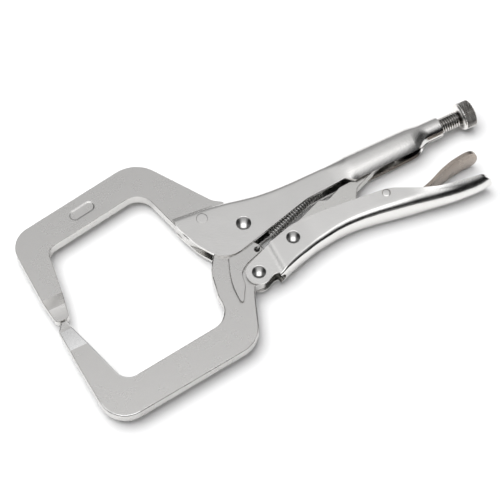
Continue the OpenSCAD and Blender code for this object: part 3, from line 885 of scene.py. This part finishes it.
def knurlTree():
    # cuts crossing grooves round the barrel that comes in, so that diamonds stand between them
    tree, entry, output = treeFor("diamondKnurl", [("Depth", "Float", 0.5), ("Around", "Float", 36.0),
                                                   ("Step", "Float", 1.2), ("Start", "Float", 150.0),
                                                   ("End", "Float", 157.0)])
    x, turn, parts = roundAxis(tree)
    about = mathNode(tree, "MULTIPLY", turn, entry.outputs["Around"])
    along = mathNode(tree, "DIVIDE", x, entry.outputs["Step"])
    one = triangleWave(tree, mathNode(tree, "ADD", about, along))
    other = triangleWave(tree, mathNode(tree, "SUBTRACT", about, along))
    fade = faded(tree, x, entry.outputs["Start"], entry.outputs["End"], 0.5)
    groove = mathNode(tree, "SUBTRACT", mathNode(tree, "MINIMUM", one, other), 1.0)
    height = mathNode(tree, "MULTIPLY", mathNode(tree, "MULTIPLY", groove, fade), entry.outputs["Depth"])
    pushedOut(tree, entry, output, height, parts, finishes["knob"])
    return tree


knobSizes = {
    "radius": 8.38,
    "from": 147.3,
    "to": 155.9,
    "bore": 3.65,
    "recess": 1.7,
    "depth": 0.62,
    "around": 32.0,
    "step": 1.35,
    "band": (0.0014, 0.0003, 0.0072),  # where the knurl's painted shade goes, in metres: in from each end of the knob, and out from the axis
}


def makeKnob(s):
    r, a, b, bore = s["radius"], s["from"], s["to"], s["bore"]
    barrel = [(bore, a), (r - 1.9, a), (r - 1.0, a + 0.2), (r - 0.35, a + 0.8), (r - 0.1, a + 1.3)]
    barrel += [(r, x) for x in np.arange(a + 1.7, b - 0.5, 0.14)]
    barrel += [(r - 0.2, b - 0.35), (r - 0.6, b - 0.1), (r - 1.1, b), (0, b)]
    barrel += [(0, b - s["recess"]), (bore, b - s["recess"]), (bore, a)]
    body = lathe("screwKnob", barrel, (0, screwAxis.y, 0), along="x", turns=272)
    values = {"Depth": s["depth"], "Around": s["around"], "Step": s["step"],
              "Start": a + 1.5, "End": b - 0.3}
    return grown(body, knurlTree(), values)


def shadesKnurlBand(knob, s):
    # the knurled band takes a copy of the knob's finish with painted shade in its grooves
    knob.data.materials.append(finishes["knurl"])
    start, end = ((toFrame @ Vector((s[key], 0, 0))).x for key in ("from", "to"))
    front, back, out = s["band"]
    axis = toFrame @ Vector((0, screwAxis.y, 0))
    for polygon in knob.data.polygons:
        far = (polygon.center - axis).yz.length
        polygon.material_index = int(start + front < polygon.center.x < end - back and far > out)


springSizes = {
    "from": (11.6, -12.0, 0.8),
    "to": (52.5, 3.1, 0.4),
    "hole": (-0.7, -18.2, 0),
    "hook": [(0, 0, 1.2), (0.25, 0.1, 0.4), (0.9, 0.35, 0.05), (2.2, 0.9, 0), (4.4, 1.9, 0.4),
             (8.0, 3.4, 2.6), (10.2, 4.2, 4.0)],  # x and y from the hole, and how far below the hook's top
    "over": 6.45,
    "tab": (57.5, 4.6, 0),
    "radius": 2.5,
    "pitch": 1.75,
    "wire": 0.5,
    "sides": 8,
}


def springPath(s):
    start, end = Vector(s["from"]), Vector(s["to"])
    ahead = (end - start).normalized()
    side = Vector((-ahead.y, ahead.x, 0))
    up = Vector((0, 0, 1))
    hole = Vector(s["hole"])
    path = [hole - up] + [hole + Vector((x, y, s["over"] - below)) for x, y, below in s["hook"]]
    r = s["radius"]
    length = (end - start).length
    turns = length / s["pitch"]
    steps = int(turns * 18)
    for i in range(steps + 1):
        a = 2 * math.pi * turns * i / steps + math.pi / 2
        path.append(start + ahead * length * i / steps + side * r * math.cos(a) + up * r * math.sin(a))
    path += [end + ahead * 1.4 + up * 1.2, end + ahead * 2.6, Vector(s["tab"])]
    return path


def wireTree():
    tree, entry, output = treeFor("roundWire", [("Wire radius", "Float", 0.5), ("Sides", "Int", 8)])
    profile = tree.nodes.new("GeometryNodeCurvePrimitiveCircle")
    tree.links.new(entry.outputs["Sides"], profile.inputs["Resolution"])
    tree.links.new(entry.outputs["Wire radius"], profile.inputs["Radius"])
    sweep = tree.nodes.new("GeometryNodeCurveToMesh")
    sweep.inputs["Fill Caps"].default_value = True
    tree.links.new(entry.outputs["Geometry"], sweep.inputs["Curve"])
    tree.links.new(profile.outputs["Curve"], sweep.inputs["Profile Curve"])
    finishTree(tree, sweep.outputs["Mesh"], finishes["spring"], output)
    return tree


def makeSpring(s):
    path = springPath(s)
    line = bpy.data.curves.new("jawSpring", "CURVE")
    line.dimensions = "3D"
    spline = line.splines.new("POLY")
    spline.points.add(len(path) - 1)
    for point, place in zip(spline.points, path):
        point.co = (*place, 1)
    wire = bpy.data.objects.new("jawSpring", line)
    bpy.context.scene.collection.objects.link(wire)
    return grown(wire, wireTree(), {"Wire radius": s["wire"], "Sides": s["sides"]})


deliver(makeScrew(screwSizes), "screw", "screw", "bright_screw", "adjusting_screw", angle=50)
shadesKnurlBand(deliver(makeKnob(knobSizes), "knob", "knob", "bright_screw", "screw_knob", angle=40), knobSizes)
spring = makeSpring(springSizes)
shadeByAngle(spring, 60)
spring.data.transform(toFrame)
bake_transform(spring)
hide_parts("jaw_spring")
print(f"{spring.name}: {len(spring.data.polygons)} faces")

# Floor, light and camera

studioSizes = {
    # radiance by the angle from overhead, from the near side of the room (-90) to the far side (90)
    "levels": [(-89, 0.36), (-76, 0.30), (-64, 0.04), (-46, 0.02), (-37, 0.16), (-28, 0.8), (-20, 1.0),
               (4, 1.0), (13, 0.66), (24, 0.46), (50, 0.28), (89, 0.20)],
    "strength": 1.6,
    "sideDark": (0.22, 0.58, 0.08),  # where the sides begin to darken, where they end, and how dark
    "right": (0.889, -0.457, 0),
    "behind": (0.457, 0.889, 0),
    "key": {"place": (-0.35, 0.35, 1.45), "size": (1.3, 1.3), "power": 24},
    "camera": {"place": (-205, -407, 885), "aim": (-1.05, -10.1, -9.5), "lens": 124.2, "sensor": 36},
}


def makeFloor():
    bpy.ops.mesh.primitive_plane_add(size=6, location=(0, 0, cadBox[0][2] - 0.0002))
    floor = bpy.context.object
    floor.name = "paleFloor"
    paint = bpy.data.materials.new("paleFloor")
    paint.use_nodes = True
    shader = paint.node_tree.nodes["Principled BSDF"]
    shader.inputs["Base Color"].default_value = (0.93, 0.93, 0.93, 1)
    shader.inputs["Roughness"].default_value = 0.85
    shader.inputs["Specular IOR Level"].default_value = 0.1
    floor.data.materials.append(paint)


def softLight(name, s):
    # a soft panel aimed at the middle of the frame, which the metal doesn't mirror
    data = bpy.data.lights.new(name, "AREA")
    data.shape = "RECTANGLE"
    data.size, data.size_y = s["size"]
    data.energy = s["power"]
    light = bpy.data.objects.new(name, data)
    light.location = s["place"]
    light.rotation_euler = (-Vector(s["place"])).to_track_quat("-Z", "Y").to_euler()
    light.visible_glossy = False
    bpy.context.scene.collection.objects.link(light)


def makeSky():
    # a studio read by the angle from overhead: a softbox above, grey behind, a dark band on the near side
    world = bpy.data.worlds.new("studio")
    bpy.context.scene.world = world
    world.use_nodes = True
    nodes, links = world.node_tree.nodes, world.node_tree.links
    coords = nodes.new("ShaderNodeTexCoord")
    behind = nodes.new("ShaderNodeVectorMath")
    behind.operation = "DOT_PRODUCT"
    behind.inputs[1].default_value = studioSizes["behind"]
    split = nodes.new("ShaderNodeSeparateXYZ")
    angle = nodes.new("ShaderNodeMath")
    angle.operation = "ARCTAN2"
    scale = nodes.new("ShaderNodeMapRange")
    scale.inputs["From Min"].default_value = -math.pi / 2
    scale.inputs["From Max"].default_value = math.pi / 2
    ramp = nodes.new("ShaderNodeValToRGB")
    links.new(coords.outputs["Generated"], split.inputs["Vector"])
    links.new(coords.outputs["Generated"], behind.inputs[0])
    links.new(behind.outputs["Value"], angle.inputs[0])
    links.new(split.outputs["Z"], angle.inputs[1])
    links.new(angle.outputs[0], scale.inputs["Value"])
    links.new(scale.outputs["Result"], ramp.inputs["Fac"])
    elements = ramp.color_ramp.elements
    for degrees, level in studioSizes["levels"]:
        elements.new(degrees / 180 + 0.5).color = (level, level, level * 1.01, 1)
    elements[0].color = elements[1].color
    elements[-1].color = elements[-2].color
    side = nodes.new("ShaderNodeVectorMath")
    side.operation = "DOT_PRODUCT"
    side.inputs[1].default_value = studioSizes["right"]
    links.new(coords.outputs["Generated"], side.inputs[0])
    start, end, low = studioSizes["sideDark"]
    fade = nodes.new("ShaderNodeMapRange")
    fade.inputs["From Min"].default_value = start
    fade.inputs["From Max"].default_value = end
    fade.inputs["To Min"].default_value = studioSizes["strength"]
    fade.inputs["To Max"].default_value = studioSizes["strength"] * low
    either = nodes.new("ShaderNodeMath")
    either.operation = "ABSOLUTE"
    links.new(side.outputs["Value"], either.inputs[0])
    links.new(either.outputs[0], fade.inputs["Value"])
    background = nodes["Background"]
    links.new(ramp.outputs["Color"], background.inputs["Color"])
    links.new(fade.outputs["Result"], background.inputs["Strength"])


def makeCamera(s):
    data = bpy.data.cameras.new("camera")
    data.sensor_width = s["sensor"]
    data.lens = s["lens"]
    camera = bpy.data.objects.new("camera", data)
    place = toFrame @ Vector(s["place"])
    aim = toFrame @ Vector(s["aim"])
    camera.location = place
    camera.rotation_euler = (aim - place).to_track_quat("-Z", "Y").to_euler()
    bpy.context.scene.collection.objects.link(camera)
    bpy.context.scene.camera = camera


makeFloor()
print("floor laid")
makeSky()
softLight("keyLight", studioSizes["key"])
print("light set")
makeCamera(studioSizes["camera"])
print("camera placed")
bpy.context.scene.view_settings.view_transform = "Standard"
